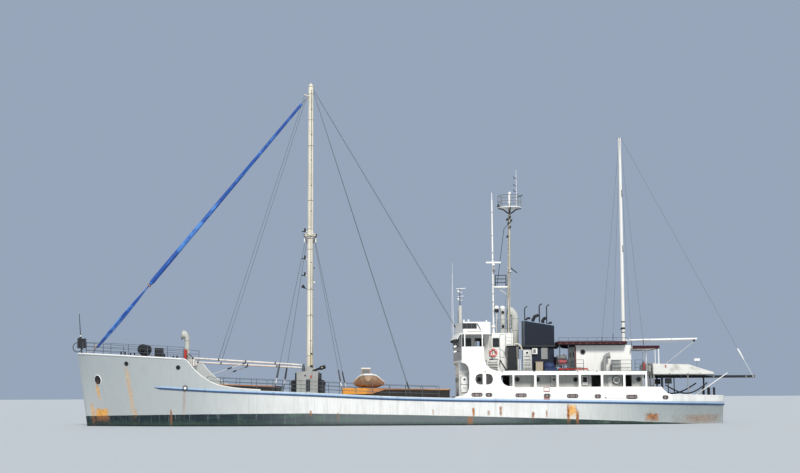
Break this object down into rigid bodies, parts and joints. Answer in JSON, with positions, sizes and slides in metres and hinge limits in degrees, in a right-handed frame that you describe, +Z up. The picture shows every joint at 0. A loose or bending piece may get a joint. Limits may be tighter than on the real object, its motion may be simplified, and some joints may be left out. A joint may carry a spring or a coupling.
{
  "type": "general cargo vessel, 1:2 scale model",
  "caption": "Coastal cargo vessel at half scale, with its bridge aft, derricks on the foremast, working propeller and rudder, and hinged doors. Afloat at its waterline.",
  "frame": {"origin": "amidships on the centreline, at the waterline", "axes": "-X towards the bow, +X towards the stern, +Y to starboard, +Z up"},
  "size_m": [31.473, 4.79, 17.386],
  "materials": {
    "hull_paint": "weathered white gloss paint over steel plate",
    "white_paint": "white gloss paint",
    "deck_paint": "matt green-grey deck paint",
    "grey_paint": "satin grey paint",
    "cream_paint": "cream gloss paint with rust at the joints",
    "navy_paint": "dark blue gloss paint",
    "black_paint": "black satin paint",
    "hatch_paint": "faded red-orange paint",
    "boat_paint": "white and tan paint",
    "steel_wire": "dull galvanised steel",
    "sail_cover": "blue canvas",
    "awning_cloth": "maroon canvas",
    "canopy_cloth": "white canvas",
    "bronze": "cast bronze, dull",
    "window_glass": "dark glass"
  },
  "bodies": {
    "vessel": {"hull": "hull_paint", "forecastle": "hull_paint", "boom_rest": "white_paint", "fashion_plate_port": "hull_paint", "fashion_plate_starboard": "hull_paint", "forecastle_rail_port": "steel_wire", "forecastle_rail_starboard": "steel_wire", "well_rail_port": "steel_wire", "well_rail_starboard": "steel_wire", "windlass": "black_paint", "jackstaff": "black_paint", "anchor_starboard": "black_paint", "hatch_1": "hatch_paint", "hatch_2": "hatch_paint", "mast_house": "cream_paint", "foremast": "cream_paint", "fore_shroud_port": "steel_wire", "fore_shroud_starboard": "steel_wire", "aft_shroud_port": "steel_wire", "aft_shroud_starboard": "steel_wire", "deck_backstay_port": "steel_wire", "deck_backstay_starboard": "steel_wire", "forestay_sail": "sail_cover", "side_plating_port": "white_paint", "side_plating_starboard": "white_paint", "stern_bulwark_port": "white_paint", "stern_bulwark_starboard": "white_paint", "deckhouse": "grey_paint", "boat_deck": "deck_paint", "bridge_deck": "white_paint", "bridge_front": "grey_paint", "wheelhouse": "grey_paint", "monkey_island": "white_paint", "chart_house": "white_paint", "funnel": "navy_paint", "cowl_forward": "white_paint", "cowl_midships": "grey_paint", "deck_lockers": "black_paint", "signal_mast": "cream_paint", "radar_pole": "white_paint", "boat_deck_house": "white_paint", "awning_forward": "awning_cloth", "aft_canopy": "canopy_cloth", "stern_spar": "black_paint", "mizzen_mast": "white_paint", "stern_frame": "black_paint", "workboat": "boat_paint"},
    "propeller": {"propeller": "bronze"},
    "rudder": {"rudder": "black_paint"},
    "derrick_swivel_port": {"derrick_swivel_port": "steel_wire"},
    "derrick_swivel_starboard": {"derrick_swivel_starboard": "steel_wire"},
    "boom_port": {"boom_port": "white_paint"},
    "boom_starboard": {"boom_starboard": "white_paint"},
    "mizzen_boom": {"mizzen_boom": "white_paint"},
    "radar_scanner": {"radar_scanner": "white_paint"},
    "door_port": {"door_port": "white_paint"},
    "door_starboard": {"door_starboard": "white_paint"},
    "side_door_port": {"side_door_port": "white_paint"},
    "side_door_starboard": {"side_door_starboard": "white_paint"}
  },
  "joints": [
    {"name": "propeller_spin", "type": "hinge", "parent": "vessel", "child": "propeller", "pos_m": [13.2633, 0, -0.85], "axis": [1, 0, 0], "continuous": true},
    {"name": "rudder_turn", "type": "hinge", "parent": "vessel", "child": "rudder", "pos_m": [13.75, 0, -1.306], "axis": [0, 0, 1], "range_deg": [-35, 35]},
    {"name": "derrick_slew_port", "type": "hinge", "parent": "vessel", "child": "derrick_swivel_port", "pos_m": [-4.45, -0.4, 2.72], "axis": [0, 0, 1], "range_deg": [0, 40]},
    {"name": "derrick_slew_starboard", "type": "hinge", "parent": "vessel", "child": "derrick_swivel_starboard", "pos_m": [-4.45, 0.4, 2.61], "axis": [0, 0, -1], "range_deg": [0, 40]},
    {"name": "boom_top_port", "type": "hinge", "parent": "derrick_swivel_port", "child": "boom_port", "pos_m": [-4.45, -0.4, 2.72], "axis": [0, 1, 0], "range_deg": [0, 60]},
    {"name": "boom_top_starboard", "type": "hinge", "parent": "derrick_swivel_starboard", "child": "boom_starboard", "pos_m": [-4.45, 0.4, 2.61], "axis": [0, 1, 0], "range_deg": [0, 60]},
    {"name": "mizzen_boom_swing", "type": "hinge", "parent": "vessel", "child": "mizzen_boom", "pos_m": [10.45, 0, 3.79], "axis": [0, 0, 1], "range_deg": [-35, 35]},
    {"name": "radar_scan", "type": "hinge", "parent": "vessel", "child": "radar_scanner", "pos_m": [4.31, -0.43, 7.3303], "axis": [0, 0, 1], "continuous": true},
    {"name": "door_port_hinge", "type": "hinge", "parent": "vessel", "child": "door_port", "pos_m": [3.03, -1.816, 1.415], "axis": [0, 0, 1], "range_deg": [0, 100]},
    {"name": "door_starboard_hinge", "type": "hinge", "parent": "vessel", "child": "door_starboard", "pos_m": [3.03, 1.816, 1.415], "axis": [0, 0, -1], "range_deg": [0, 100]},
    {"name": "side_door_port_hinge", "type": "hinge", "parent": "vessel", "child": "side_door_port", "pos_m": [7.03, -1.816, 1.3], "axis": [0, 0, 1], "range_deg": [0, 100]},
    {"name": "side_door_starboard_hinge", "type": "hinge", "parent": "vessel", "child": "side_door_starboard", "pos_m": [7.03, 1.816, 1.3], "axis": [0, 0, -1], "range_deg": [0, 100]}
  ]
}
